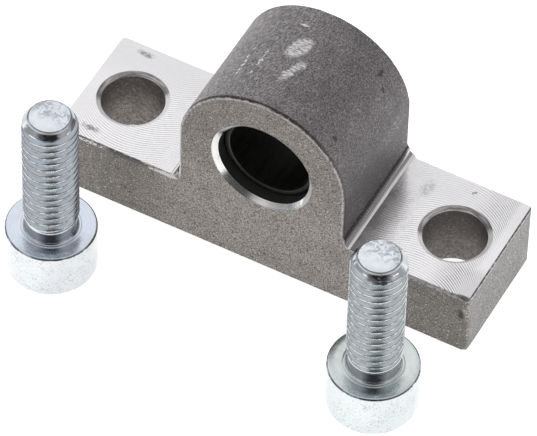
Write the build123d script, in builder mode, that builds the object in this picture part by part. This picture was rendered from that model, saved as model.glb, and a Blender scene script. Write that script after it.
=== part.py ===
from build123d import *

import os

# Swivel flange: a cast foot with a bushed pivot eye, and the two cap screws that fasten it.
# Millimetres. X runs along the foot, Y along the pivot axis towards the back, Z up.
# The origin is on the foot's underside, midway between the screw holes and under the pivot.

# Foot: a bar with a milled ear at each end, its cast ends not quite even about the holes
hole_spacing = 50.0
left_end_distance = 6.8
right_end_distance = 7.1
foot_width = 18.9
foot_height = 11.0
foot_corner_radius = 0.6
foot_bottom_radius = 0.2

# Pivot eye: a round-topped lug, flush with the foot in front and a little proud of it behind
eye_radius = 12.65
pivot_height = 20.0
eye_back_overhang = 0.5
eye_edge_radius = 0.35
cast_root_radius = 1.0

# Milling of the ears: what it took off the casting, and how near the eye the cutter came
milling_depth = 1.0
cutter_corner_radius = 1.0
cutter_standoff = 0.25

# Screw holes through the ears, with a shallow countersink on top and a broken edge underneath
hole_diameter = 9.0
hole_chamfer = 0.65
countersink_angle = 110.0
hole_back_chamfer = 0.4

# Wrapped plain bush, pressed into the middle of the eye and a little shorter than it
bush_inner_diameter = 12.0
bush_wall = 1.0
bush_length = 15.0
bush_inner_chamfer = 0.4
bush_outer_chamfer = 0.3
bush_seam_gap = 0.15
bore_chamfer = 0.7

# Hexagon socket cap screws, M8
thread_diameter = 7.8
screw_length = 22.4
tip_flat_diameter = 5.9
tip_chamfer_height = 1.3
neck_diameter = 7.2
neck_length = 2.4
neck_root_chamfer = 0.45
runout_length = 0.5
head_diameter = 12.75
head_height = 7.8
head_crown_chamfer = 0.7
head_rim_chamfer = 0.35
socket_across_flats = 6.0
socket_depth = 4.5
socket_point_height = 1.0

# The screws stand on their heads in front of the holes, tips up, the right one a little inward
screw_clearance = 7.1
right_screw_offset = 0.4

# Worked out from the sizes above
cast_root_height = milling_depth + cast_root_radius
root_reach = eye_radius + cutter_standoff + cutter_corner_radius
foot_length = left_end_distance + hole_spacing + right_end_distance
foot_middle = (right_end_distance - left_end_distance) / 2
eye_depth = foot_width + eye_back_overhang
eye_middle = eye_back_overhang / 2
countersink_radius = hole_diameter / 2 + hole_chamfer
bush_outer_diameter = bush_inner_diameter + 2 * bush_wall
screw_stand_x = {"left": -hole_spacing / 2, "right": hole_spacing / 2 - right_screw_offset}
screw_stand_y = -(foot_width / 2 + screw_clearance + head_diameter / 2)

os.makedirs("parts", exist_ok=True)

# Flange body: one casting, its ears milled, its holes and bore machined
with BuildPart() as flange_body:
    # Foot, its cast corners rounded
    with BuildSketch(Plane.XY):
        with Locations((foot_middle, 0)):
            RectangleRounded(foot_length, foot_width, foot_corner_radius)
    extrude(amount=foot_height)

    # Eye, with the cast root on each side that the milling cutter left standing beside it
    with BuildSketch(Plane.XZ.offset(-eye_middle)):
        Rectangle(2 * eye_radius, pivot_height, align=(Align.CENTER, Align.MIN))
        Rectangle(2 * root_reach, foot_height + cast_root_height, align=(Align.CENTER, Align.MIN))
        with Locations((0, pivot_height)):
            Circle(eye_radius)
        with Locations((eye_radius + cast_root_radius, foot_height + cast_root_height)):
            cast_root = Circle(cast_root_radius, mode=Mode.SUBTRACT)
        with Locations((eye_radius + cutter_standoff, foot_height)):
            cutter = RectangleRounded(
                foot_length, foot_length, cutter_corner_radius, align=Align.MIN, mode=Mode.SUBTRACT
            )
        mirror(cast_root, about=Plane.YZ, mode=Mode.SUBTRACT)
        mirror(cutter, about=Plane.YZ, mode=Mode.SUBTRACT)
    extrude(amount=eye_depth / 2, both=True)
    crown_edges = flange_body.edges().filter_by(GeomType.CIRCLE).sort_by(Axis.Z)[-2:]
    fillet(crown_edges, eye_edge_radius)
    underside = flange_body.faces().sort_by(Axis.Z)[0]
    fillet(underside.edges(), foot_bottom_radius)

    # Bore for the bush, chamfered at both mouths
    with BuildSketch(Plane.XZ):
        with Locations((0, pivot_height)):
            Circle(bush_outer_diameter / 2)
    extrude(amount=eye_depth, both=True, mode=Mode.SUBTRACT)
    bore_mouths = flange_body.faces().filter_by(Axis.Y).edges().filter_by(lambda edge: edge.is_closed)
    chamfer(bore_mouths, bore_chamfer)

    # Screw holes, countersunk at the milled faces and chamfered at the underside
    with Locations((0, 0, foot_height)):
        with GridLocations(hole_spacing, 0, 2, 1):
            CounterSinkHole(
                hole_diameter / 2, countersink_radius, depth=foot_height, counter_sink_angle=countersink_angle
            )
    underside_edges = flange_body.edges().filter_by_position(Axis.Z, 0, 0)
    chamfer(underside_edges.filter_by(lambda edge: edge.is_closed), hole_back_chamfer)
flange_body.part.label = "flange_body"
export_step(flange_body.part, "parts/flange_body.step")

# Plain bush: a strip rolled to a ring, with its butt joint at the top
with BuildPart() as plain_bush:
    with BuildSketch(Plane.XZ.offset(-eye_middle)):
        with Locations((0, pivot_height)):
            Circle(bush_outer_diameter / 2)
            Circle(bush_inner_diameter / 2, mode=Mode.SUBTRACT)
    extrude(amount=bush_length / 2, both=True)
    bush_rims = plain_bush.faces().filter_by(Axis.Y).edges().sort_by(SortBy.RADIUS)
    chamfer(bush_rims[:2], bush_inner_chamfer)
    chamfer(bush_rims[2:], bush_outer_chamfer)
    with BuildSketch(Plane.XZ.offset(-eye_middle)):
        with Locations((0, pivot_height)):
            Rectangle(bush_seam_gap, bush_outer_diameter, align=(Align.CENTER, Align.MIN))
    extrude(amount=bush_length / 2, both=True, mode=Mode.SUBTRACT)
plain_bush.part.label = "plain_bush"
export_step(plain_bush.part, "parts/plain_bush.step")

# Cap screws, standing on their heads
neck_end = head_height + neck_length
tip_end = head_height + screw_length
neck_radius = neck_diameter / 2
thread_radius = thread_diameter / 2
head_radius = head_diameter / 2
for side, stand_x in screw_stand_x.items():
    screw_profile = Plane((stand_x, screw_stand_y, 0), x_dir=(1, 0, 0), z_dir=(0, -1, 0))
    screw_base = Plane((stand_x, screw_stand_y, 0))
    with BuildPart() as mounting_screw:
        with BuildSketch(screw_profile):
            with BuildLine():
                Polyline(
                    (0, 0),
                    (head_radius, 0),
                    (head_radius, head_height),
                    (neck_radius + neck_root_chamfer, head_height),
                    (neck_radius, head_height + neck_root_chamfer),
                    (neck_radius, neck_end),
                    (thread_radius, neck_end + runout_length),
                    (thread_radius, tip_end - tip_chamfer_height),
                    (tip_flat_diameter / 2, tip_end),
                    (0, tip_end),
                    close=True,
                )
            make_face()
        revolve(axis=Axis((stand_x, screw_stand_y, 0), (0, 0, 1)))
        head_edges = mounting_screw.edges().filter_by(GeomType.CIRCLE).group_by(SortBy.RADIUS)[-1]
        chamfer(head_edges.sort_by(Axis.Z)[0], head_crown_chamfer)
        chamfer(head_edges.sort_by(Axis.Z)[-1], head_rim_chamfer)
        with BuildSketch(screw_base):
            RegularPolygon(socket_across_flats / 2, 6, major_radius=False)
        extrude(amount=socket_depth, mode=Mode.SUBTRACT)
        with Locations(screw_base.offset(socket_depth)):
            Cone(
                socket_across_flats / 2,
                0,
                socket_point_height,
                align=(Align.CENTER, Align.CENTER, Align.MIN),
                mode=Mode.SUBTRACT,
            )
    mounting_screw.part.label = f"mounting_screw_{side}"
    export_step(mounting_screw.part, f"parts/mounting_screw_{side}.step")
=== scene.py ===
import math

import bmesh
import bpy
import numpy as np
from mathutils import Matrix, Vector, noise


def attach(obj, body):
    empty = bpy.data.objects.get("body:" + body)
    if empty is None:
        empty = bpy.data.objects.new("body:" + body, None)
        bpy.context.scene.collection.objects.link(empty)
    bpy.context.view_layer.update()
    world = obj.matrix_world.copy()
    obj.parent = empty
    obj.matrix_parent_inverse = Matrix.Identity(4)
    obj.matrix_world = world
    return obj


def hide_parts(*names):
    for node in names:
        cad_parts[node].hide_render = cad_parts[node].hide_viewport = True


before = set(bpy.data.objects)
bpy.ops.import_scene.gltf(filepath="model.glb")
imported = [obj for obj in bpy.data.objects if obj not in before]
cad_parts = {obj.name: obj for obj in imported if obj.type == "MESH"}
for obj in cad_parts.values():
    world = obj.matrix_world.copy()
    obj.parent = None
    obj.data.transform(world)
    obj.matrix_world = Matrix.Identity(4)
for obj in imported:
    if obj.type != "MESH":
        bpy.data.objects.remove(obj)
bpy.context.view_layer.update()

scene = bpy.context.scene
MM = 0.001

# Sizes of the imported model, in millimetres
LEFT_END = -31.8
RIGHT_END = 32.1
HALF_WIDTH = 9.45
FRONT = -HALF_WIDTH
FOOT_CORNER_R = 0.6
EAR_Z = 11.0
EYE_Z = 20.0
EYE_R = 12.65
EYE_BACK = 9.95
EYE_MIDDLE = (EYE_BACK - HALF_WIDTH) / 2
EYE_EDGE_R = 0.35
CAST_ROOT_R = 1.0
STUB_Z = 12.0
CUT_X = 12.9
CUTTER_R = 1.0
ROOT_X = CUT_X + CUTTER_R
HOLE_X = 25.0
HOLE_R = 4.5
HOLE_CHAMFER = 0.65
HOLE_BACK = 0.4
SINK_ANGLE = 110
SINK_DEPTH = HOLE_CHAMFER / math.tan(math.radians(SINK_ANGLE / 2))
BORE_R = 7.0
BORE_CHAMFER = 0.7
STAND = {"left": (-25.0, -22.925), "right": (24.6, -22.925)}


# Mesh helpers
def add_object(name, verts, faces):
    """A mesh object from points in millimetres."""
    mesh = bpy.data.meshes.new(name)
    mesh.from_pydata([tuple(v) for v in np.asarray(verts, float) * MM], [], [tuple(f) for f in faces])
    mesh.validate()
    obj = bpy.data.objects.new(name, mesh)
    scene.collection.objects.link(obj)
    return obj


def clean(obj, merge=0.002):
    """Joins points that coincide and turns the faces outward."""
    bm = bmesh.new()
    bm.from_mesh(obj.data)
    bmesh.ops.remove_doubles(bm, verts=bm.verts, dist=merge * MM)
    bmesh.ops.dissolve_degenerate(bm, edges=bm.edges, dist=0.0005 * MM)
    bmesh.ops.recalc_face_normals(bm, faces=bm.faces)
    bm.to_mesh(obj.data)
    bm.free()
    return obj


def apply_modifiers(obj):
    """Replaces the object's mesh with what its modifiers make of it."""
    graph = bpy.context.evaluated_depsgraph_get()
    made = bpy.data.meshes.new_from_object(obj.evaluated_get(graph))
    obj.modifiers.clear()
    old = obj.data
    obj.data = made
    bpy.data.meshes.remove(old)


def shade(obj, angle):
    """Smooth shading that breaks at edges sharper than angle, in degrees."""
    mesh = obj.data
    mesh.shade_smooth()
    mesh.set_sharp_from_angle(angle=math.radians(angle))
    mod = obj.modifiers.new("weighted", "WEIGHTED_NORMAL")
    mod.keep_sharp = True
    mod.weight = 90


def turned(name, profile, count, axis="Z", origin=(0, 0, 0)):
    """A closed turned body from a profile of (radius, height) points; the ends lie on the axis."""
    angles = np.linspace(0, 2 * math.pi, count, endpoint=False)
    verts, faces = [], []
    for r, h in profile:
        for a in angles:
            u, v = r * math.cos(a), r * math.sin(a)
            p = (u, v, h) if axis == "Z" else (u, h, v)
            verts.append([p[k] + origin[k] for k in range(3)])
    for i in range(len(profile) - 1):
        for j in range(count):
            k = (j + 1) % count
            faces.append((i * count + j, i * count + k, (i + 1) * count + k, (i + 1) * count + j))
    return clean(add_object(name, verts, faces))


def extruded(name, outline, y0, y1):
    """A prism along Y from an outline of (x, z) points."""
    n = len(outline)
    verts = [(x, y0, z) for x, z in outline] + [(x, y1, z) for x, z in outline]
    faces = [tuple(range(n)), tuple(reversed(range(n, 2 * n)))]
    faces += [(i, (i + 1) % n, n + (i + 1) % n, n + i) for i in range(n)]
    return clean(add_object(name, verts, faces))


def arc(cx, cz, r, start, end, count):
    """Points of an arc in the XZ plane, by degrees."""
    return [
        (cx + r * math.cos(math.radians(a)), cz + r * math.sin(math.radians(a)))
        for a in np.linspace(start, end, count)
    ]


def bevel(obj, test, width, segments):
    """Rounds the edges whose two ends, in millimetres, pass the test."""
    bm = bmesh.new()
    bm.from_mesh(obj.data)
    edges = [e for e in bm.edges if test(e.verts[0].co / MM, e.verts[1].co / MM)]
    bmesh.ops.bevel(
        bm,
        geom=edges,
        offset=width * MM,
        segments=segments,
        profile=0.5,
        affect="EDGES",
        clamp_overlap=True,
    )
    bm.to_mesh(obj.data)
    bm.free()


# The casting before it was machined: foot and eye, grown together and roughened
MILLING_STOCK = 1.4
VOXEL = 0.27

blank_top = EAR_Z + MILLING_STOCK
outline = [(LEFT_END, 0), (RIGHT_END, 0), (RIGHT_END, blank_top), (LEFT_END, blank_top)]
foot = extruded("foot_blank", outline, FRONT, HALF_WIDTH)
bevel(foot, lambda a, b: abs(a.z - b.z) > 1, FOOT_CORNER_R, 4)

root_z = STUB_Z + CAST_ROOT_R
outline = [(-ROOT_X, 0), (ROOT_X, 0), (ROOT_X, STUB_Z)]
outline += arc(EYE_R + CAST_ROOT_R, root_z, CAST_ROOT_R, 270, 180, 9)
outline += arc(0, EYE_Z, EYE_R, 0, 180, 121)
outline += arc(-EYE_R - CAST_ROOT_R, root_z, CAST_ROOT_R, 0, -90, 9) + [(-ROOT_X, STUB_Z)]
eye = extruded("eye_blank", outline, FRONT, EYE_BACK)


def on_round(a, b):
    """Whether an edge runs round the front or the back of the eye and its cast roots."""
    above_stub = min(a.z, b.z) > STUB_Z - 0.1
    inside_root = max(abs(a.x), abs(b.x)) < ROOT_X - 0.1
    return above_stub and inside_root and abs(a.y - b.y) < 0.01


bevel(eye, on_round, EYE_EDGE_R, 3)

bm = bmesh.new()
bm.from_mesh(foot.data)
bm.from_mesh(eye.data)
body_mesh = bpy.data.meshes.new("swivel_body")
bm.to_mesh(body_mesh)
bm.free()
body = bpy.data.objects.new("swivel_body", body_mesh)
scene.collection.objects.link(body)
for blank in (foot, eye):
    bpy.data.objects.remove(blank)
remesh = body.modifiers.new("remesh", "REMESH")
remesh.mode = "VOXEL"
remesh.voxel_size = VOXEL * MM
apply_modifiers(body)


def roughen(obj):
    """Presses small pits and waves into a cast skin, never outward."""
    pit_depth, pit_rate = 0.025, 1.6
    wave_depth, wave_rate, wave_start = 0.02, 0.55, Vector((7, 3, 1))
    mesh = obj.data
    count = len(mesh.vertices)
    co = np.empty(count * 3)
    mesh.vertices.foreach_get("co", co)
    normals = np.empty(count * 3)
    mesh.vertex_normals.foreach_get("vector", normals)
    co, normals = co.reshape(-1, 3), normals.reshape(-1, 3)
    depth = np.empty(count)
    for i, p in enumerate(co / MM):
        v = Vector(p)
        pit = 0.5 + 0.5 * noise.noise(v * pit_rate)
        wave = 0.5 + 0.5 * noise.noise(v * wave_rate + wave_start)
        depth[i] = pit_depth * pit + wave_depth * wave
    low, high = co.min(0), co.max(0)
    co -= normals * (depth * MM)[:, None]
    co = np.clip(co, low, high)
    mesh.vertices.foreach_set("co", co.ravel())
    mesh.update()


roughen(body)

# Machining: milled ears, drilled and chamfered holes, bored and chamfered eye
CLEAR_X = 40
CLEAR_Z = 16
HALF_CUT = 12
half_eye = HALF_WIDTH + EYE_MIDDLE
mouth = half_eye - BORE_CHAMFER

# The holes' lower chamfers, the left one a little smaller and the right one a little larger
HOLE_BACKS = {-1: HOLE_BACK - 0.1, 1: HOLE_BACK + 0.05}

cutters = []
for side, back in HOLE_BACKS.items():
    path = [(CUT_X, CLEAR_Z), (CUT_X, EAR_Z + CUTTER_R)]
    path += arc(ROOT_X, EAR_Z + CUTTER_R, CUTTER_R, 180, 270, 10)
    path += [(CLEAR_X, EAR_Z), (CLEAR_X, CLEAR_Z)]
    cutters.append(extruded(f"mill_{side}", [(side * x, z) for x, z in path], -HALF_CUT, HALF_CUT))
    drill = [
        (0, -1),
        (HOLE_R + back + 1, -1),
        (HOLE_R, back),
        (HOLE_R, EAR_Z - SINK_DEPTH),
        (HOLE_R + 2 * HOLE_CHAMFER, EAR_Z + SINK_DEPTH),
        (0, EAR_Z + SINK_DEPTH),
    ]
    cutters.append(turned(f"drill_{side}", drill, 128, origin=(side * HOLE_X, 0, 0)))
boring_bar = [
    (0, -half_eye - 1),
    (BORE_R + BORE_CHAMFER + 1, -half_eye - 1),
    (BORE_R, -mouth),
    (BORE_R, mouth),
    (BORE_R + BORE_CHAMFER + 1, half_eye + 1),
    (0, half_eye + 1),
]
cutters.append(turned("boring_bar", boring_bar, 160, axis="Y", origin=(0, EYE_MIDDLE, EYE_Z)))
for cutter in cutters:
    cut = body.modifiers.new(cutter.name, "BOOLEAN")
    cut.operation = "DIFFERENCE"
    cut.solver = "EXACT"
    cut.object = cutter
apply_modifiers(body)
for cutter in cutters:
    bpy.data.objects.remove(cutter)

# Which surface each face belongs to, told by where it lies and which way it looks
CAST, MILLED, MILLED_ROOT, HOLE_WALL, HOLE_EDGE, BORE_EDGE, BORE_WALL = range(7)
mesh = body.data
count = len(mesh.polygons)
centre = np.empty(count * 3)
normal = np.empty(count * 3)
mesh.polygons.foreach_get("center", centre)
mesh.polygons.foreach_get("normal", normal)
x, y, z = centre.reshape(-1, 3).T / MM
nx, ny, nz = normal.reshape(-1, 3).T
zone = np.full(count, CAST)
from_middle = np.abs(x)
zone[(np.abs(z - EAR_Z) < 0.03) & (nz > 0.99) & (from_middle > ROOT_X - 0.1)] = MILLED
root = (from_middle > CUT_X - 0.05) & (from_middle < ROOT_X + 0.01) & (z > EAR_Z - 0.01) & (np.abs(ny) < 0.3)
to_arc = np.abs(np.hypot(from_middle - ROOT_X, z - EAR_Z - CUTTER_R) - CUTTER_R)
zone[root & ((to_arc < 0.03) | (np.abs(from_middle - CUT_X) < 0.004))] = MILLED_ROOT
from_hole = np.hypot(from_middle - HOLE_X, y)
zone[(from_hole < HOLE_R + 0.02) & (np.abs(nz) < 0.2)] = HOLE_WALL
slanted = np.abs(np.abs(nz) - 0.76) < 0.12
at_end = (z > EAR_Z - SINK_DEPTH - 0.01) | (z < HOLE_BACK + 0.06)
zone[(from_hole < HOLE_R + HOLE_CHAMFER + 0.02) & slanted & at_end] = HOLE_EDGE
from_bore = np.hypot(x, z - EYE_Z)
inward = -(nx * x + nz * (z - EYE_Z)) / np.maximum(from_bore, 1e-6)
zone[(from_bore < BORE_R + 0.02) & (inward > 0.9)] = BORE_WALL
slanted = np.abs(inward - 0.707) < 0.1
at_mouth = np.abs(y - EYE_MIDDLE) > mouth - 0.05
zone[(from_bore < BORE_R + BORE_CHAMFER + 0.05) & slanted & at_mouth] = BORE_EDGE
mesh.polygons.foreach_set("material_index", zone.astype(np.int32))
shade(body, 32)
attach(body, "root")
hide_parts("flange_body")

# The wrapped bush: a ring with broken edges and an open butt joint at the top
BUSH_IN = 6.0
BUSH_OUT = 6.995
BUSH_HALF = 7.5
BUSH_STEPS = 180
HALF_GAP = 0.075 / 6.5

rim = [
    (BUSH_IN, 0.4),
    (BUSH_IN + 0.12, 0.16),
    (BUSH_IN + 0.4, 0),
    (BUSH_OUT - 0.3, 0),
    (BUSH_OUT - 0.08, 0.1),
    (BUSH_OUT, 0.3),
]
section = [(r, inset - BUSH_HALF) for r, inset in rim]
section += [(r, BUSH_HALF - inset) for r, inset in reversed(rim)]
verts, faces = [], []
for i in range(BUSH_STEPS + 1):
    a = math.pi / 2 + HALF_GAP + (2 * math.pi - 2 * HALF_GAP) * i / BUSH_STEPS
    verts += [(r * math.cos(a), y + EYE_MIDDLE, EYE_Z + r * math.sin(a)) for r, y in section]
n = len(section)
for i in range(BUSH_STEPS):
    for j in range(n):
        k = (j + 1) % n
        faces.append((i * n + j, i * n + k, (i + 1) * n + k, (i + 1) * n + j))
faces += [tuple(range(n)), tuple(reversed(range(BUSH_STEPS * n, BUSH_STEPS * n + n)))]
bush = clean(add_object("bush_ring", verts, faces))
shade(bush, 50)
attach(bush, "root")
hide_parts("plain_bush")

# Cap screws, standing on their heads; heights are above the floor
SOCKET = 6.0
CROWN_R = 5.3
CROWN_ROUND = 0.7
HEAD_R = 6.375
HEAD_TOP = 7.8
WASHER_R = 4.16
WASHER_Z = 7.83
NECK_ROUND = 0.4
NECK_R = 3.6
NECK_END = 9.0
CREST_R = 3.9
TIP_R = 2.98
TIP_SLOPE = 0.76
TIP_END = 30.2
TIP_ROUND = 0.1

# One turn of the thread's section, as (height in pitches, radius)
PITCH = 1.25
THREAD = [
    (-0.5, 3.15), (-0.45, 3.18), (-0.4, 3.25), (-0.3, 3.47), (-0.22, 3.64), (-0.15, 3.77), (-0.08, 3.86),
    (0.0, 3.9), (0.08, 3.86), (0.15, 3.77), (0.22, 3.64), (0.3, 3.47), (0.4, 3.25), (0.45, 3.18),
]


def ease(value, low, high):
    """A smooth step from 0 at low to 1 at high."""
    t = min(1, max(0, (value - low) / (high - low)))
    return t * t * (3 - 2 * t)


def quarter(r, h, across, down):
    """A quarter round as (radius, height) points, which starts straight below its centre."""
    turns = [math.radians(t) for t in range(0, 91, 15)]
    return [(r + across * math.sin(t), h - down * math.cos(t)) for t in turns]


def screw(side, turn):
    """A cap screw on its head: turned head, hexagon socket, neck and a rolled thread."""
    x0, y0 = STAND[side]
    count = 120
    angles = np.linspace(0, 2 * math.pi, count, endpoint=False)
    verts, faces = [], []

    def row(points):
        """Adds a row of points and returns where it starts."""
        start = len(verts)
        verts.extend((x0 + p[0], y0 + p[1], p[2]) for p in points)
        return start

    def bridge(rows):
        """Joins each row to the next with a band of faces."""
        for a, b in zip(rows, rows[1:]):
            for j in range(count):
                k = (j + 1) % count
                faces.append((a + j, a + k, b + k, b + j))

    def circle(r, z):
        return row([(r * math.cos(t), r * math.sin(t), z) for t in angles])

    def hexagon(across, z):
        points = []
        for t in angles:
            local = (t + math.pi / 6) % (math.pi / 3) - math.pi / 6
            r = across / 2 / math.cos(local)
            points.append((r * math.cos(t), r * math.sin(t), z))
        return row(points)

    # Socket, head, bearing face and neck
    profile = [(CROWN_R, 0)] + quarter(HEAD_R - CROWN_ROUND, CROWN_ROUND, CROWN_ROUND, CROWN_ROUND)
    profile += [(HEAD_R, 2.4), (HEAD_R, 5.0), (HEAD_R, 7.5), (6.34, 7.62), (6.2, 7.76), (6.08, HEAD_TOP)]
    profile += [(5.2, HEAD_TOP), (4.4, HEAD_TOP), (WASHER_R, HEAD_TOP), (4.12, WASHER_Z), (4.06, WASHER_Z)]
    profile += quarter(NECK_R + NECK_ROUND, 8.22, -NECK_ROUND, NECK_ROUND)
    profile += [(NECK_R, 8.6), (NECK_R, NECK_END)]
    rows = [circle(0, 5.5), hexagon(SOCKET, 4.5), hexagon(SOCKET, 0.12), hexagon(SOCKET + 0.2, 0)]
    rows += [circle(r, z) for r, z in profile]
    bridge(rows)

    # Thread rows follow the helix; past either end they gather on the end's own circle
    low, high = NECK_END, TIP_END - TIP_ROUND
    per_turn = len(THREAD)
    lead = turn / 360 * PITCH
    first = len(verts)
    laps = int(math.ceil((high - low) / PITCH)) + 2
    levels = []
    for lap in range(-1, laps):
        for rise, r in THREAD:
            levels.append((low + lead - PITCH + (lap + 0.5 + rise) * PITCH, r))
    for base, r in levels:
        for t in angles:
            z = base + PITCH * t / (2 * math.pi)
            z = min(high, max(low, z))
            radius = NECK_R + (r - NECK_R) * ease(z, 9.6, 11.0)
            radius = CREST_R - (CREST_R - radius) * ease(high - z, 0.1, 0.8)
            radius = min(radius, TIP_R + (high - z) * TIP_SLOPE)
            verts.append((x0 + radius * math.cos(t), y0 + radius * math.sin(t), z))
    for i in range(len(levels) - 1):
        for j in range(count - 1):
            a = first + i * count + j
            faces.append((a, a + 1, a + count + 1, a + count))
        if i + per_turn + 1 < len(levels):
            a = first + i * count + count - 1
            b = first + (i + per_turn) * count
            faces.append((a, b, b + count, a + count))

    # The ends' own circles, onto which the thread's rows merge. The upper one begins the tip,
    # which is rounded to a face that is a little hollow
    bridge([rows[-1], circle(NECK_R, low)])
    tip = [(TIP_R, high), (2.9, TIP_END - 0.03), (2.8, TIP_END), (1.4, TIP_END - 0.01), (0, TIP_END - 0.02)]
    bridge([circle(r, z) for r, z in tip])
    obj = clean(add_object(f"cap_screw_{side}", verts, faces), merge=0.004)
    shade(obj, 50)
    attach(obj, "root")
    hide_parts(f"mounting_screw_{side}")
    return obj


screws = {"left": screw("left", 40), "right": screw("right", 200)}


# Node helpers
class Graph:
    """Short calls that add nodes to a tree and return their outputs."""

    def __init__(self, tree):
        self.tree = tree

    def put(self, socket, value):
        """Links an output to a socket or sets the socket's own value."""
        if isinstance(value, bpy.types.NodeSocket):
            self.tree.links.new(value, socket)
        elif value is not None:
            if socket.type == "RGBA" and len(value) == 3:
                value = (*value, 1)
            socket.default_value = value

    def node(self, kind, out=0, **inputs):
        """Any node by its type; the inputs' names have underscores for spaces."""
        n = self.tree.nodes.new(kind)
        for key, value in inputs.items():
            self.put(n.inputs[key.replace("_", " ")], value)
        return n.outputs[out]

    def math(self, op, a, b=None):
        n = self.tree.nodes.new("ShaderNodeMath")
        n.operation = op
        self.put(n.inputs[0], a)
        self.put(n.inputs[1], b)
        return n.outputs[0]

    def fold(self, op, values):
        out = values[0]
        for value in values[1:]:
            out = self.math(op, out, value)
        return out

    def times(self, *values):
        return self.fold("MULTIPLY", values)

    def most(self, *values):
        return self.fold("MAXIMUM", values)

    def plus(self, *values):
        return self.fold("ADD", values)

    def minus(self, a, b):
        return self.math("SUBTRACT", a, b)

    def size(self, a):
        return self.math("ABSOLUTE", a)

    def vector(self, op, a, b=None, scale=None):
        n = self.tree.nodes.new("ShaderNodeVectorMath")
        n.operation = op
        self.put(n.inputs[0], a)
        self.put(n.inputs[1], b)
        if scale is not None:
            self.put(n.inputs["Scale"], scale)
        return n.outputs["Value" if op in ("LENGTH", "DOT_PRODUCT") else "Vector"]

    def split(self, value):
        n = self.tree.nodes.new("ShaderNodeSeparateXYZ")
        self.put(n.inputs[0], value)
        return n.outputs

    def join(self, x, y, z):
        return self.node("ShaderNodeCombineXYZ", X=x, Y=y, Z=z)

    def radius(self, a, b):
        """Distance from the origin of a point in a plane."""
        return self.vector("LENGTH", self.join(a, b, 0.0))

    def ease(self, value, low, high, start=0.0, end=1.0):
        """A smooth step from start to end while the value goes from low to high."""
        n = self.tree.nodes.new("ShaderNodeMapRange")
        n.interpolation_type = "SMOOTHSTEP"
        names = ("Value", "From Min", "From Max", "To Min", "To Max")
        for name, v in zip(names, (value, low, high, start, end)):
            self.put(n.inputs[name], v)
        return n.outputs[0]

    def mix(self, factor, a, b):
        """A colour between two colours."""
        n = self.tree.nodes.new("ShaderNodeMix")
        n.data_type = "RGBA"
        self.put(n.inputs["Factor"], factor)
        self.put(n.inputs[6], a)
        self.put(n.inputs[7], b)
        return n.outputs[2]

    def blend(self, factor, a, b):
        """A number between two numbers."""
        n = self.tree.nodes.new("ShaderNodeMix")
        n.data_type = "FLOAT"
        self.put(n.inputs[0], factor)
        self.put(n.inputs[2], a)
        self.put(n.inputs[3], b)
        return n.outputs[0]


class Shader(Graph):
    """A material and the nodes that need its position; lengths are in millimetres."""

    def __init__(self, name):
        self.material = bpy.data.materials.new(name)
        self.material.use_nodes = True
        super().__init__(self.material.node_tree)
        self.bsdf = self.tree.nodes["Principled BSDF"]
        self.position = self.vector("SCALE", self.node("ShaderNodeTexCoord", out="Object"), scale=1000)
        self.x, self.y, self.z = self.split(self.position)

    def set(self, **values):
        for name, value in values.items():
            self.put(self.bsdf.inputs[name.replace("_", " ")], value)

    def stretched(self, x, y, z):
        """The position with its three axes scaled."""
        return self.vector("MULTIPLY", self.position, (x, y, z))

    def noise(self, size, detail=2.0, rough=0.5, where=None, distort=0.0):
        """Noise whose features are about size millimetres."""
        return self.node(
            "ShaderNodeTexNoise",
            Vector=where or self.position,
            Scale=1 / size,
            Detail=detail,
            Roughness=rough,
            Distortion=distort,
        )

    def bump(self, height, depth, normal=None):
        """Bump from a height of 0 to 1 over depth millimetres."""
        return self.node("ShaderNodeBump", Strength=1.0, Distance=depth * MM, Height=height, Normal=normal)

    def spot(self, at, size, soft=0.5):
        """1 inside an ellipsoid round a point, fading to 0 outside it."""
        away = self.vector("SUBTRACT", self.position, at)
        away = self.vector("DIVIDE", away, size)
        return self.ease(self.vector("LENGTH", away), 1 + soft, 1 - soft)


# Bare metal where the cast skin is torn, and a near-black for painted shade and dark spots beside it
BARE = (0.9, 0.88, 0.87)
NEAR_BLACK = (0.05, 0.045, 0.04)


def skin_tones(s, crown, facing_end, grain, blotch):
    """Blasted grey, darker and purplish on the eye's round, with painted shade low on its right, lighter on
    the ends.
    """
    tone = s.ease(grain, 0.34, 0.66)
    plain = s.mix(tone, (0.15, 0.134, 0.122), (0.64, 0.593, 0.55))
    dark = s.mix(tone, (0.08, 0.072, 0.077), (0.43, 0.402, 0.416))
    light = s.mix(tone, (0.225, 0.216, 0.213), (0.475, 0.46, 0.456))
    side = s.size(s.x)
    far = s.most(s.ease(side, 12.0, 22.0, 0.0, 0.5), s.ease(s.z, 13.0, 22.0, 0.0, 0.34))
    plain = s.mix(far, plain, (0.17, 0.155, 0.142))
    # Painted shade on the eye's round, towards the right and deepest low down
    painted_shade_right = s.times(s.ease(s.x, -2.0, 8.0), s.ease(s.z, 32.0, 14.0, 0.25, 0.62))
    dark = s.mix(painted_shade_right, dark, (0.09, 0.082, 0.086))
    ends = s.times(s.ease(side, 31.0, 31.6), facing_end)
    colour = s.mix(crown, plain, dark)
    colour = s.mix(ends, colour, light)
    colour = s.mix(s.ease(blotch, 0.4, 0.75, 0.0, 0.3), colour, (0.13, 0.122, 0.118))
    pit = s.noise(0.3, 1, 0.5)
    return s.mix(s.ease(pit, 0.6, 0.7, 0.0, 0.75), colour, (0.08, 0.072, 0.068))


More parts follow.
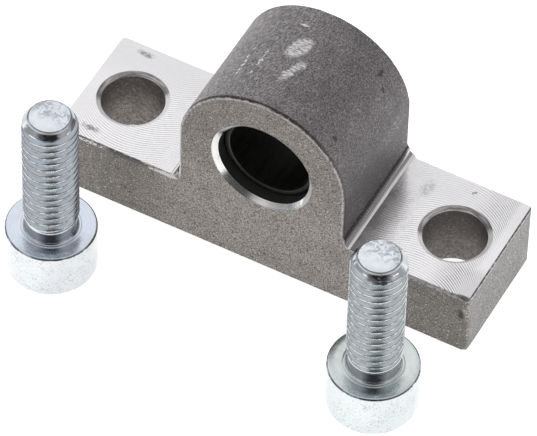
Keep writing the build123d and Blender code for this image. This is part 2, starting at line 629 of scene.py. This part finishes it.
def crown_marks(s, crown, colour):
    """Rubbed marks, dots, dark spots and dusty streaks on the eye's round, and painted shade along its front
    and at its roots.
    """
    # The round unrolled: millimetres along the arc from its right springing, and back from the front
    angle = s.math("ARCTAN2", s.minus(s.z, EYE_Z), s.x)
    along = s.times(angle, EYE_R)
    back = s.plus(s.y, HALF_WIDTH)
    ragged = s.times(s.minus(s.noise(0.7, 3, 0.6), 0.5), 1.6)
    unrolled = s.join(s.plus(along, ragged), back, 0.0)

    def mark(degrees, depth, wide, deep, soft=0.3, lean=0.0):
        """An oval by its angle on the round and its distance from the front."""
        away = s.vector("SUBTRACT", unrolled, (math.radians(degrees) * EYE_R, depth, 0.0))
        px, py, _ = s.split(away)
        leaning = s.join(s.plus(px, s.times(py, lean)), py, 0.0)
        away = s.vector("DIVIDE", leaning, (wide, deep, 1.0))
        return s.ease(s.vector("LENGTH", away), 1 + soft, 1 - soft)

    oblique = s.vector("MULTIPLY", s.join(s.plus(along, back), back, 0.0), (0.5, 1.5, 1.0))
    hatch = s.noise(0.35, 2, 0.6, where=oblique)
    rubbed = s.most(
        mark(93.5, 11.7, 1.35, 2.0, 0.25, 0.25),
        mark(88.5, 7.5, 0.62, 2.3, 0.35, 0.34),
        mark(99, 15.8, 0.8, 0.22),
    )
    rubbed = s.times(rubbed, s.ease(hatch, 0.38, 0.58, 0.15, 0.9))
    dots = [mark(122.5, depth, 0.15, 0.3, 0.5, 0.4) for depth in (5.2, 5.9, 6.8, 7.7, 8.5, 10.2)]
    dots += [mark(111, depth, 0.14, 0.32, 0.5, 0.4) for depth in (5.4, 7.2, 7.9, 8.8, 9.6)]
    dots = s.times(s.most(*dots), s.ease(hatch, 0.3, 0.5, 0.3, 1.0))
    spots = s.most(mark(42, 3.0, 0.28, 0.42), mark(42, 16.2, 0.4, 0.75), mark(34.5, 15.0, 0.3, 0.3))

    streaks = s.join(s.times(s.plus(along, s.times(back, 0.35)), 3.0), back, 0.0)
    dusty = s.ease(s.noise(0.8, 3, 0.75, where=streaks), 0.5, 0.62)
    cloudy = s.ease(s.noise(4.0, 2), 0.45, 0.65, 0.0, 0.6)
    dusty = s.times(dusty, s.most(cloudy, s.ease(angle, 1.2, 1.9)))

    # Painted shade: dark lines along the front of the round and where it springs from the roots
    painted_brink_shade = s.times(s.ease(s.y, FRONT + 0.66, FRONT + 0.48), s.ease(angle, 0.3, 1.2, 0.3, 0.95))
    painted_seam_shade = s.times(s.ease(s.size(s.x), 12.62, 12.7), s.ease(s.z, 12.85, 12.6, 0.0, 0.9))

    colour = s.mix(s.times(crown, dusty, 0.75), colour, (0.58, 0.57, 0.57))
    colour = s.mix(s.times(crown, s.most(painted_brink_shade, painted_seam_shade)), colour, (0.04, 0.033, 0.033))
    colour = s.mix(s.times(crown, s.most(rubbed, dots)), colour, (0.95, 0.93, 0.94))
    return s.mix(s.times(crown, spots, 0.8), colour, (0.035, 0.033, 0.04))


def bright_edges(s, crown, facing, broken):
    """A rolled-over burr below the milled edges, a worn edge round the eye, and painted glints."""
    side = s.size(s.x)
    burr = s.times(s.ease(s.z, 10.62, 10.8), s.ease(s.z, 11.1, 11.02), s.ease(side, 13.0, 13.6), broken)
    from_root = s.radius(s.minus(side, ROOT_X), s.minus(s.z, STUB_Z))
    lip = s.times(s.ease(from_root, 1.22, 1.12), s.ease(s.z, 12.6, 12.2), s.ease(facing, 0.5, 0.8))
    lip = s.times(lip, s.ease(broken, 0, 1, 0.4, 1.0))
    from_eye = s.radius(s.x, s.most(s.minus(s.z, EYE_Z), 0.0))
    rim = s.times(s.ease(from_eye, 12.2, 12.35), s.ease(from_eye, 12.62, 12.5))
    rim = s.times(rim, s.ease(s.z, 12.5, 13.5), s.ease(facing, 0.2, 0.5), s.ease(broken, 0, 1, 0.22, 0.82))
    # Painted glints: bright specks on the grain, fewer on the eye's round
    speck = s.noise(0.24, 1, 0.5)
    painted_glint = s.times(s.ease(speck, 0.64, 0.7), s.ease(crown, 0, 1, 1.0, 0.35))
    return s.most(s.times(s.most(burr, lip, rim), 0.85), s.times(painted_glint, 0.8))


def torn_and_shaded_front(s, grain, broken, colour):
    """Torn skin along the ears' front edge and at its corners, with painted shade under the edge."""
    front_edge = s.times(s.ease(s.y, -9.0, -9.2), s.ease(s.size(s.x), 13.6, 14.4))
    middle = s.times(s.ease(s.x, -24.5, -23.0), s.ease(s.x, -17.0, -18.5))
    uneven = s.noise(0.6, 2, 0.6)

    # Painted shade: a thin dark line under the edge, and a dark patch below it in the left ear's middle;
    # bright flakes of torn skin beside that
    painted_edge_shadow = s.times(s.ease(s.z, 10.64, 10.72), s.ease(s.z, 11.0, 10.94), s.ease(uneven, 0.4, 0.48))
    painted_edge_shadow = s.times(painted_edge_shadow, s.ease(s.x, -5.0, 5.0, 0.95, 0.45), front_edge)
    colour = s.mix(painted_edge_shadow, colour, (0.045, 0.04, 0.038))
    painted_shadow_below = s.times(s.ease(s.z, 9.7, 10.4, 0.0, 0.6), s.ease(s.z, 11.0, 10.9), middle, front_edge)
    colour = s.mix(painted_shadow_below, colour, (0.09, 0.082, 0.077))
    flakes = s.times(s.ease(s.z, 10.12, 10.24), s.ease(s.z, 10.74, 10.66), s.ease(uneven, 0.44, 0.5))
    flakes = s.times(flakes, s.ease(s.x, -5.0, 5.0, 1.0, 0.4))
    flakes = s.times(s.minus(flakes, middle), front_edge)
    colour = s.mix(s.most(flakes, 0.0), colour, BARE)

    # The corner by the eye: a curl, a bead up the eye's edge and painted shade in a hollow between them
    curl = s.times(s.spot((-14.4, FRONT, 10.5), (1.5, 0.6, 0.4), 0.25), s.ease(s.z, 10.9, 10.8))
    curl = s.times(curl, s.ease(grain, 0.35, 0.5, 0.55, 1.0))
    bead = s.times(s.spot((-12.5, FRONT, 13.0), (0.22, 0.5, 1.9), 0.3), s.ease(broken, 0, 1, 0.4, 1.0))
    colour = s.mix(s.most(curl, bead), colour, BARE)
    # Painted shade in the hollow between the curl and the bead
    colour = s.mix(s.spot((-12.72, FRONT, 12.4), (0.16, 0.5, 0.4), 0.4), colour, NEAR_BLACK)

    # The right corner, rough and chipped
    rough_corner = s.spot((31.6, -9.4, 8.4), (0.6, 0.6, 1.9))
    rough_corner = s.times(rough_corner, s.ease(s.noise(0.4, 3, 0.7), 0.48, 0.56), 0.7)
    colour = s.mix(rough_corner, colour, (0.74, 0.71, 0.66))
    top_chip = s.spot((31.2, FRONT, 10.76), (0.85, 0.5, 0.34), 0.4)
    low_chip = s.spot((30.85, FRONT, 7.3), (0.5, 0.5, 0.95), 0.7)
    return s.mix(s.times(s.most(top_chip, low_chip), 0.85), colour, NEAR_BLACK)


def cast_skin():
    """The cast skin of the whole flange, with what handling and milling left on it, and painted shade and
    glints.
    """
    s = Shader("cast_skin")
    nx, ny, _ = s.split(s.node("ShaderNodeNewGeometry", out="Normal"))
    facing = s.size(ny)
    crown = s.times(s.ease(facing, 0.75, 0.3), s.ease(s.z, 11.4, 12.4))
    grain = s.noise(0.2, 3, 0.75)
    blotch = s.noise(3.2, 3, 0.6)
    broken = s.ease(s.noise(0.5, 2, 0.6), 0.38, 0.54)
    colour = skin_tones(s, crown, s.ease(s.size(nx), 0.4, 0.8), grain, blotch)
    colour = crown_marks(s, crown, colour)
    bright = bright_edges(s, crown, facing, broken)
    colour = s.mix(bright, colour, (0.74, 0.72, 0.7))
    colour = torn_and_shaded_front(s, grain, broken, colour)
    s.set(
        Base_Color=colour,
        Metallic=0.5,
        Roughness=s.ease(bright, 0, 1, 0.56, 0.32),
        Normal=s.bump(grain, 0.08, s.bump(blotch, 0.15)),
    )
    return s.material


# Feed marks of the cutter on the ears: radius, middle and spacing of the arcs, in millimetres
MARK_R = 10.0
MARK_X = 22.9
MARK_STEP = 0.41


def milled():
    """The milled ears, with feed marks, stains, darker edges painted as shade, and a painted reflection of
    the eye.
    """
    s = Shader("milled_steel")

    # The arcs bulge to the back on the right ear and to the front on the left one
    across = s.minus(s.size(s.x), MARK_X)
    rise = s.math("SQRT", s.most(s.minus(MARK_R * MARK_R, s.times(across, across)), 0.0))
    feed = s.minus(s.times(s.y, s.math("SIGN", s.x)), rise)
    feed = s.plus(feed, s.times(s.noise(4.0, 2), 0.12))
    uneven = s.noise(0.9, 3, 0.6)
    patch = s.noise(4.5, 3, 0.6)
    grit = s.noise(0.2, 2, 0.6)
    from_corner = s.minus(s.plus(s.x, HOLE_X), s.y)
    rings = s.times(
        s.math("SINE", s.times(feed, 2 * math.pi / MARK_STEP)),
        s.ease(uneven, 0.3, 0.62, 0.4, 1.0),
        s.ease(patch, 0.4, 0.56, 0.3, 1.0),
        s.ease(from_corner, -5.0, 6.0, 0.12, 1.0),
        s.ease(s.x, 31.0, 29.0, 0.2, 1.0),
    )
    lined = s.ease(rings, -1, 0.6)
    colour = s.mix(lined, (0.57, 0.56, 0.575), (0.935, 0.92, 0.94))
    colour = s.mix(s.ease(patch, 0.35, 0.7, 0.0, 0.3), colour, (0.86, 0.85, 0.86))
    colour = s.mix(s.ease(grit, 0.5, 0.7, 0.0, 0.3), colour, (0.64, 0.63, 0.63))

    # Darker beside the eye, a painted reflection of it; darker towards the back, and in the marks at the
    # right end
    painted_eye_reflection = s.times(s.ease(s.x, 19.0, 14.0), s.ease(s.x, 10.0, 12.0), s.ease(s.y, 6.0, 2.0, 0.1, 0.66))
    colour = s.mix(painted_eye_reflection, colour, (0.4, 0.39, 0.395))
    colour = s.mix(s.ease(s.y, 0.0, 7.0, 0.0, 0.38), colour, (0.64, 0.63, 0.64))
    by_end = s.most(s.ease(s.y, -3.0, -5.5), s.ease(s.x, 30.9, 29.9, 0.0, 0.6))
    by_end = s.times(by_end, s.ease(s.x, 24.5, 28.0), s.ease(lined, 1.0, 0.0, 0.17, 0.85))
    colour = s.mix(by_end, colour, (0.3, 0.29, 0.3))

    # Stains with ragged outlines; the noise's mean of a half is added to their places
    ragged = s.node("ShaderNodeTexNoise", out="Color", Vector=s.position, Scale=1.2)
    here = s.vector("ADD", s.position, ragged)

    def smudge(x, y, wide, deep):
        away = s.vector("SUBTRACT", here, (x + 0.5, y + 0.5, EAR_Z + 0.5))
        away = s.vector("DIVIDE", away, (wide, deep, 3.0))
        return s.ease(s.vector("LENGTH", away), 1.4, 0.5)

    smudges = s.most(
        smudge(-27.4, 8.1, 1.3, 0.5),
        smudge(-27.5, -7.5, 1.4, 0.45),
        s.times(smudge(18.0, 5.4, 0.9, 1.5), 0.5),
        smudge(24.0, 7.8, 0.28, 0.22),
    )
    smudges = s.times(smudges, s.ease(s.noise(0.4, 3, 0.7), 0.3, 0.6), 0.85)
    colour = s.mix(smudges, colour, (0.2, 0.19, 0.2))

    # Dark lines along the right end and the front, painted shade where the burrs there shadow the face, and
    # the dark front corner
    edge = s.ease(s.x, RIGHT_END - 0.33, RIGHT_END - 0.25)
    edge = s.most(edge, s.ease(s.y, FRONT + 0.14, FRONT + 0.08))
    edge = s.times(edge, s.ease(s.noise(0.8, 2, 0.6), 0.36, 0.5, 0.6, 1.0))
    edge = s.most(edge, s.spot((31.2, -9.35, EAR_Z), (1.1, 0.3, 1.0)))
    colour = s.mix(s.times(edge, 0.95), colour, (0.08, 0.075, 0.075))
    s.set(
        Base_Color=colour,
        Metallic=0.8,
        Roughness=s.ease(uneven, 0.3, 0.7, 0.17, 0.24),
        Normal=s.bump(lined, 0.006, s.bump(grit, 0.006)),
    )
    return s.material


def milled_root():
    """The root beside the eye, with a painted highlight along it and a painted dark reflection on its upper
    edge.
    """
    s = Shader("milled_root")
    side = s.size(s.x)
    streak = s.noise(1.0, 3, 0.6, where=s.stretched(6.0, 0.25, 6.0))
    # Painted highlight along the lower part of the root's round
    painted_root_highlight = s.times(s.ease(side, 13.38, 13.5), s.ease(side, 13.78, 13.68), s.ease(streak, 0.25, 0.5, 0.6, 1.0))
    dull = s.mix(s.ease(streak, 0.3, 0.7), (0.4, 0.39, 0.395), (0.56, 0.55, 0.555))
    colour = s.mix(painted_root_highlight, dull, (0.9, 0.89, 0.89))
    # Painted dark reflection on the upright part of the cut, above the round
    colour = s.mix(s.ease(s.z, 11.85, 12.0, 0.0, 0.9), colour, (0.05, 0.048, 0.05))
    s.set(
        Base_Color=colour,
        Metallic=1.0,
        Roughness=s.ease(streak, 0.3, 0.7, 0.16, 0.26),
        Normal=s.bump(streak, 0.01),
    )
    return s.material


def drilled():
    """The walls of the screw holes, grainy and darker towards the top."""
    s = Shader("drilled_wall")
    grain = s.noise(0.42, 3, 0.7)
    blotch = s.noise(1.8, 2, 0.6)
    rings = s.noise(1.0, 2, 0.5, where=s.stretched(0.3, 0.3, 3.0))
    colour = s.mix(s.ease(grain, 0.34, 0.66), (0.15, 0.13, 0.12), (0.62, 0.57, 0.54))
    colour = s.mix(s.ease(blotch, 0.4, 0.7, 0.0, 0.4), colour, (0.18, 0.157, 0.148))
    colour = s.mix(s.ease(s.z, 3.0, 10.0, 0.0, 0.65), colour, (0.11, 0.096, 0.098))
    colour = s.mix(s.ease(s.x, -1.0, 1.0, 0.0, 0.35), colour, (0.15, 0.13, 0.125))
    colour = s.mix(s.ease(s.noise(0.32, 2, 0.6), 0.6, 0.7, 0.0, 0.6), colour, (0.8, 0.78, 0.74))
    s.set(
        Base_Color=colour,
        Metallic=0.6,
        Roughness=s.ease(grain, 0.3, 0.7, 0.42, 0.6),
        Normal=s.bump(grain, 0.06, s.bump(rings, 0.03)),
    )
    return s.material


def chamfered():
    """The chamfers of the screw holes, with turned streaks and a front half painted near-white as glare."""
    s = Shader("chamfer_steel")
    from_x = s.minus(s.size(s.x), HOLE_X)
    out = s.radius(from_x, s.y)
    streak = s.noise(0.8, 3, 0.6, where=s.join(s.times(out, 4.5), s.times(s.x, 0.3), s.times(s.y, 0.3)))
    colour = s.mix(s.ease(streak, 0.36, 0.64), (0.3, 0.29, 0.285), (0.86, 0.845, 0.84))
    forward = s.plus(s.times(from_x, s.math("SIGN", s.x), 0.53), s.times(s.y, -0.85))
    # Painted glare: the chamfer's front half near-white and hardly metallic
    painted_glare = s.times(s.ease(forward, -1.2, 0.4), s.ease(s.z, 5.0, 6.0))
    dim = s.times(s.ease(forward, -3.0, -1.4), s.ease(forward, -0.6, -1.0), 0.6)
    colour = s.mix(dim, colour, (0.2, 0.19, 0.19))
    colour = s.mix(painted_glare, colour, (0.97, 0.955, 0.96))
    s.set(
        Base_Color=colour,
        Metallic=s.ease(painted_glare, 0, 1, 0.6, 0.1),
        Roughness=s.ease(streak, 0.3, 0.7, 0.38, 0.5),
        Normal=s.bump(streak, 0.02),
    )
    return s.material


def bore_chamfered():
    """The chamfer of the bore, with fine turned lines and two matt stretches painted near-white as
    highlights.
    """
    s = Shader("bore_chamfer_steel")
    out = s.radius(s.x, s.minus(s.z, EYE_Z))
    lines = s.noise(0.14, 2, 0.5, where=s.join(out, 0.0, 0.0))
    patch = s.noise(3.0, 2, 0.6)
    colour = s.mix(s.ease(lines, 0.3, 0.7), (0.66, 0.65, 0.64), (0.9, 0.89, 0.88))
    # Painted highlights: two matt stretches, upper left and right, in near-white
    upper_left = s.times(s.ease(s.z, EYE_Z + 3.0, EYE_Z + 4.5), s.ease(s.x, -2.0, -3.5))
    right = s.times(s.ease(s.x, 5.9, 6.5), s.ease(s.z, EYE_Z + 2.8, EYE_Z + 1.0))
    painted_matt_highlight = s.most(upper_left, right)
    s.set(
        Base_Color=s.mix(painted_matt_highlight, colour, (0.98, 0.97, 0.96)),
        Metallic=s.ease(painted_matt_highlight, 0, 1, 1.0, 0.2),
        Roughness=s.most(s.ease(patch, 0.3, 0.7, 0.16, 0.24), s.times(painted_matt_highlight, 0.45)),
        Normal=s.bump(lines, 0.01),
    )
    return s.material


def bored():
    """The wall of the bore beyond the bush, with turned lines, coloured near-black as painted shade."""
    s = Shader("bore_wall")
    lines = s.noise(0.2, 2, 0.5, where=s.join(s.y, 0.0, 0.0))
    # Painted shade: the bored steel near-black, as deep inside the eye
    s.set(
        Base_Color=s.mix(s.ease(lines, 0.3, 0.7), (0.065, 0.065, 0.063), (0.14, 0.137, 0.133)),
        Metallic=0.5,
        Roughness=s.ease(lines, 0.3, 0.7, 0.25, 0.35),
        Normal=s.bump(lines, 0.008),
    )
    return s.material


def lining():
    """The bush: a near-black sliding layer, and a line of steel on its rims."""
    s = Shader("bush_lining")
    out = s.radius(s.x, s.minus(s.z, EYE_Z))
    rim = s.ease(s.size(s.minus(s.y, EYE_MIDDLE)), 7.12, 7.25)
    steel = s.times(rim, s.ease(out, 6.13, 6.16), s.ease(out, 6.22, 6.2))
    streak = s.noise(0.6, 3, 0.6, where=s.stretched(1.0, 0.2, 1.0))
    dark = s.mix(s.ease(streak, 0.3, 0.7), (0.008, 0.008, 0.007), (0.022, 0.021, 0.019))
    s.set(
        Base_Color=s.mix(steel, dark, (0.11, 0.108, 0.105)),
        Metallic=s.ease(steel, 0, 1, 0.2, 0.9),
        Specular_IOR_Level=0.2,
        Roughness=s.ease(streak, 0.3, 0.7, 0.35, 0.5),
        Normal=s.bump(streak, 0.01),
    )
    return s.material


def zinc(side, painted_sky_reflection, flank, face):
    """Zinc plating, coloured by side: a painted sky reflection on what looks up, a tint for what looks
    sideways and one for the bearing face.
    """
    s = Shader(f"zinc_{side}")
    x0, y0 = STAND[side]
    across, deep = s.minus(s.x, x0), s.minus(s.y, y0)
    out = s.radius(across, deep)
    ahead = s.vector("NORMALIZE", s.join(across, deep, 0.0))
    ahead = s.vector("DOT_PRODUCT", ahead, (0.45, -0.893, 0.0))
    cloud = s.noise(1.4, 3, 0.6)
    fine = s.noise(0.22, 2, 0.6)
    tint = s.noise(3.0, 2, 0.5)
    turning = s.join(s.times(out, 5.0), s.times(s.x, 0.3), s.times(s.y, 0.3))
    brushed = s.noise(0.5, 3, 0.6, where=turning)
    up = s.split(s.node("ShaderNodeNewGeometry", out="Normal"))[2]
    # Painted reflection: what looks up is lighter and bluer, mirroring the sky
    colour = s.mix(s.ease(up, 0.2, 0.8), flank, painted_sky_reflection)
    colour = s.mix(s.ease(tint, 0.35, 0.65, 0.0, 0.35), colour, (0.74, 0.79, 0.78))
    colour = s.mix(s.ease(cloud, 0.45, 0.75, 0.0, 0.25), colour, (0.5, 0.53, 0.6))

    # Parts of the screw, from the head up
    head = s.times(s.ease(out, 6.25, 6.35), s.ease(s.z, 7.55, 7.45))
    rim = s.times(s.ease(s.z, 7.5, 7.56), s.ease(out, 6.18, 6.24))
    bearing = s.times(s.ease(out, 6.1, 6.0), s.ease(s.z, 7.7, 7.76), s.ease(s.z, 7.9, 7.84))
    neck = s.times(s.ease(s.z, 7.84, 7.9), s.ease(s.z, 10.3, 9.5))
    thread = s.times(s.ease(s.z, 9.8, 10.6), s.ease(out, 3.79, 3.86))
    cone = s.times(s.ease(s.z, 28.95, 29.1), s.ease(s.z, 30.18, 30.14))
    lip = s.times(s.ease(s.z, 29.93, 29.98), s.ease(s.z, 30.14, 30.12))
    edge = s.times(s.ease(s.z, 30.13, 30.15), s.ease(out, 2.76, 2.8))
    flat = s.times(s.ease(s.z, 30.12, 30.17), s.ease(out, 2.8, 2.76))

    # Speckled head
    speckle = s.times(s.ease(s.noise(0.28, 2, 0.6), 0.53, 0.62), s.ease(s.noise(2.4, 2), 0.4, 0.6, 0.4, 1.0))
    colour = s.mix(s.times(head, speckle, 0.7), colour, (0.42, 0.43, 0.41))

    # Cone of the tip, with painted light and shade: light at the sides, a painted dark reflection in front,
    # and a painted highlight on the lip above
    cone_painted_light = s.mix(s.ease(ahead, 0.45, 0.1), (0.86, 0.88, 0.91), (0.3, 0.31, 0.33))
    colour = s.mix(s.times(cone, 0.7), colour, cone_painted_light)
    shaded = s.times(s.ease(ahead, 0.83, 0.95, 0.0, 0.85), s.ease(s.noise(0.7, 3, 0.6), 0.34, 0.5, 0.45, 1.0))
    shaded = s.times(shaded, s.ease(s.z, 29.97, 29.87))
    colour = s.mix(s.times(cone, shaded), colour, (0.07, 0.07, 0.09))
    colour = s.mix(s.times(lip, s.ease(ahead, 0.3, 0.7, 0.0, 0.9)), colour, (0.95, 0.96, 0.99))

    # Dark edges of the bearing face and of the tip
    rim = s.times(rim, s.ease(s.noise(1.2, 3, 0.6), 0.36, 0.5, 0.3, 1.0), 0.85)
    colour = s.mix(rim, colour, (0.1, 0.11, 0.12))
    edge = s.times(edge, s.ease(s.noise(1.6, 2), 0.36, 0.5, 0.3, 1.0), 0.8)
    colour = s.mix(edge, colour, (0.12, 0.12, 0.13))

    # Neck, with a purplish tint and a painted dark reflection in front; crests darkened in patches as painted
    # shade; stained flat
    colour = s.mix(s.times(neck, s.ease(s.z, 8.0, 8.4, 0.0, 0.3)), colour, (0.4, 0.36, 0.44))
    colour = s.mix(s.times(neck, s.ease(ahead, 0.86, 0.97, 0.0, 0.6)), colour, (0.14, 0.13, 0.17))
    painted_crest_shade = s.ease(s.noise(0.9, 3, 0.6), 0.42, 0.58, 0.1, 1.0)
    colour = s.mix(s.times(thread, painted_crest_shade), colour, (0.32, 0.34, 0.35))
    colour = s.mix(s.times(flat, 0.6), colour, (0.86, 0.89, 0.94))
    stain = s.ease(s.noise(0.8, 4, 0.65, distort=0.8), 0.44, 0.58)
    stain = s.times(stain, s.ease(s.y, y0 - 1.6, y0 + 0.6), 0.75)
    colour = s.mix(s.times(flat, stain), colour, (0.36, 0.38, 0.46))

    # Bearing face: brushed, with a painted dark reflection of the shank in front
    colour = s.mix(s.times(bearing, 0.5), colour, face)
    colour = s.mix(s.times(bearing, s.ease(brushed, 0.4, 0.7, 0.1, 0.45)), colour, (0.5, 0.54, 0.58))
    painted_shank_reflection = s.times(s.ease(ahead, 0.6, 0.95), s.ease(out, 4.5, 5.4), s.ease(cloud, 0.3, 0.6, 0.4, 0.7))
    colour = s.mix(s.times(bearing, painted_shank_reflection), colour, (0.2, 0.23, 0.27))

    rough = s.plus(
        s.ease(cloud, 0.3, 0.7, 0.18, 0.26),
        s.times(neck, -0.06),
        s.times(s.most(lip, s.times(bearing, 0.08)), 0.35),
        s.times(cone, -0.08),
        s.times(flat, 0.14),
    )
    s.set(
        Base_Color=colour,
        Metallic=1.0,
        Roughness=rough,
        Normal=s.bump(fine, 0.006, s.bump(cloud, 0.012)),
    )
    return s.material


# Materials of the body, in the order of the surfaces' numbers
for material in (cast_skin(), milled(), milled_root(), drilled(), chamfered(), bore_chamfered(), bored()):
    body.data.materials.append(material)
bush.data.materials.append(lining())
# Colours of each screw: a painted sky reflection, the sideways tint and the bearing face's tint
screw_colours = {
    "left": {"painted_sky_reflection": (0.71, 0.78, 0.87), "flank": (0.67, 0.685, 0.705), "face": (0.66, 0.71, 0.86)},
    "right": {"painted_sky_reflection": (0.76, 0.83, 0.86), "flank": (0.66, 0.71, 0.72), "face": (0.55, 0.61, 0.55)},
}
for side, side_colours in screw_colours.items():
    screws[side].data.materials.append(zinc(side, **side_colours))

# Floor, pale, white to the camera and in reflections
FLOOR_HALF = 1.6
FLOOR_GLOW = 0.8

bm = bmesh.new()
bmesh.ops.create_grid(bm, x_segments=8, y_segments=8, size=FLOOR_HALF)
floor_mesh = bpy.data.meshes.new("floor")
bm.to_mesh(floor_mesh)
bm.free()
floor = bpy.data.objects.new("floor", floor_mesh)
scene.collection.objects.link(floor)
paint = Shader("floor_white")
rays = paint.tree.nodes.new("ShaderNodeLightPath").outputs
seen = paint.most(rays["Is Camera Ray"], rays["Is Glossy Ray"], rays["Is Transmission Ray"])
paint.set(
    Base_Color=(0.86, 0.86, 0.86),
    Roughness=0.9,
    Specular_IOR_Level=0.0,
    Emission_Color=(1.0, 1.0, 1.0),
    Emission_Strength=paint.times(seen, FLOOR_GLOW),
)
floor.data.materials.append(paint.material)

# World: a white room with a darker side where the camera stands
world = bpy.data.worlds.new("studio")
scene.world = world
world.use_nodes = True
world.node_tree.nodes.clear()
room = Graph(world.node_tree)
direction = room.node("ShaderNodeTexCoord", out="Generated")
to_right, _, upward = room.split(direction)


def toward(aim, inner, outer):
    """1 within inner degrees of a direction, 0 beyond outer degrees."""
    dot = room.vector("DOT_PRODUCT", direction, Vector(aim).normalized())
    return room.ease(dot, math.cos(math.radians(outer)), math.cos(math.radians(inner)))


# Lighter and darker parts of the room: direction, inner and outer angle, level
WINDOW = ((-0.29, -0.76, 0.55), 4, 13, 0.9)
BACK_WALL = ((-0.29, 0.57, 0.77), 22, 48, 0.7)
DARK_WALL = ((0.45, -0.79, 0.42), 21, 33, 0.11)
BEHIND_CAMERA = ((0.291, -0.575, 0.765), 12, 22, 0.1)

left_side = room.blend(room.ease(upward, 0.15, 0.6), 0.4, 0.7)
right_side = room.blend(room.ease(upward, 0.25, 0.65), 0.46, 0.72)
level = room.blend(room.ease(to_right, -0.8, 0.6), left_side, right_side)
for aim, inner, outer, value in (WINDOW, BACK_WALL, DARK_WALL, BEHIND_CAMERA):
    level = room.blend(toward(aim, inner, outer), level, value)
lit = room.node("ShaderNodeBackground", Strength=level)
white = room.node("ShaderNodeBackground", Color=(1, 1, 1))
choose = room.tree.nodes.new("ShaderNodeMixShader")
seen = room.node("ShaderNodeLightPath", out="Is Camera Ray")
for socket, value in zip(choose.inputs, (seen, lit, white)):
    room.put(socket, value)
surface = room.tree.nodes.new("ShaderNodeOutputWorld").inputs["Surface"]
room.put(surface, choose.outputs[0])


def softbox(name, at, aim, size, power):
    """A soft rectangular lamp that looks at a point."""
    data = bpy.data.lights.new(name, "AREA")
    data.shape = "RECTANGLE"
    data.size, data.size_y = size
    data.energy = power
    obj = bpy.data.objects.new(name, data)
    obj.location = at
    obj.rotation_euler = (Vector(aim) - Vector(at)).to_track_quat("-Z", "Y").to_euler()
    scene.collection.objects.link(obj)
    return obj


# One softbox behind, and a fill on each side that polished faces don't mirror
softbox("back_softbox", at=(-0.45, 0.62, 0.92), aim=(0, 0, 0.01), size=(1.0, 0.8), power=1.35)
left_fill = softbox("left_fill", at=(-0.85, 0.2, 0.45), aim=(0, 0, 0.02), size=(0.6, 0.5), power=3.0)
right_fill = softbox("right_fill", at=(0.9, 0.25, 0.3), aim=(0, 0, 0.01), size=(0.6, 0.5), power=2.5)
for fill in (left_fill, right_fill):
    fill.visible_glossy = False

# Camera, where the photograph was taken from
PICTURE_WIDTH = 537
FOCAL_PIXELS = 5619.94
SENSOR = 36
CAMERA_AT = (0.2236, -0.44836, 0.59489)
CAMERA_LOOK = (-0.29095, 0.57452, -0.76503)
CAMERA_RIGHT = (0.88085, 0.47296, 0.02019)

camera_data = bpy.data.cameras.new("camera")
camera_data.sensor_width = SENSOR
camera_data.lens = FOCAL_PIXELS / PICTURE_WIDTH * SENSOR
camera_data.clip_start = 0.05
camera_data.clip_end = 20
camera = bpy.data.objects.new("camera", camera_data)
look = Vector(CAMERA_LOOK).normalized()
right = Vector(CAMERA_RIGHT).normalized()
rotation = Matrix((right, right.cross(look), -look)).transposed().to_4x4()
camera.matrix_world = Matrix.Translation(Vector(CAMERA_AT)) @ rotation
scene.collection.objects.link(camera)
scene.camera = camera
scene.view_settings.view_transform = "Standard"
